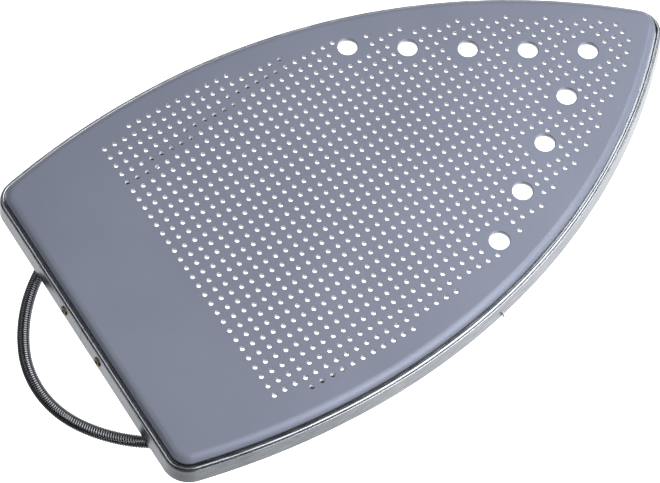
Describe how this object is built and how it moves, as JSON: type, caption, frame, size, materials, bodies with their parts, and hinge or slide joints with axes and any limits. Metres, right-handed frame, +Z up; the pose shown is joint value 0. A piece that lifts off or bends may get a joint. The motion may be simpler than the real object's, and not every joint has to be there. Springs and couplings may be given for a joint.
{
  "type": "iron shoe cover",
  "caption": "Slip-on shoe for a steam iron: a perforated non-stick sole in a bent metal rim, held on the heel by a coil spring loop.",
  "frame": {"origin": "the middle of the whole length and width, at the height of the underside of the spring, on which the shoe lies with its working face up", "axes": "+X along the shoe to its nose, +Y across it to its left side, +Z up, the way the flat working face looks"},
  "size_m": [0.2522, 0.1396, 0.0143],
  "materials": {
    "sole_coating": "satin blue-grey non-stick face",
    "rim_metal": "satin",
    "strap_metal": "satin",
    "rivet_brass": "polished",
    "spring_steel": "dark oiled wire"
  },
  "bodies": {
    "shoe": {"sole_plate": "sole_coating", "rim": "rim_metal", "joint_strap": "strap_metal", "rivet_left": "rivet_brass", "rivet_right": "rivet_brass"},
    "spring": {"heel_spring": "spring_steel"}
  },
  "joints": [
    {"name": "spring_swing", "type": "hinge", "parent": "shoe", "child": "spring", "pos_m": [0.01472, 0, 0.0061], "axis": [0, -1, 0], "range_deg": [0, 75]}
  ]
}
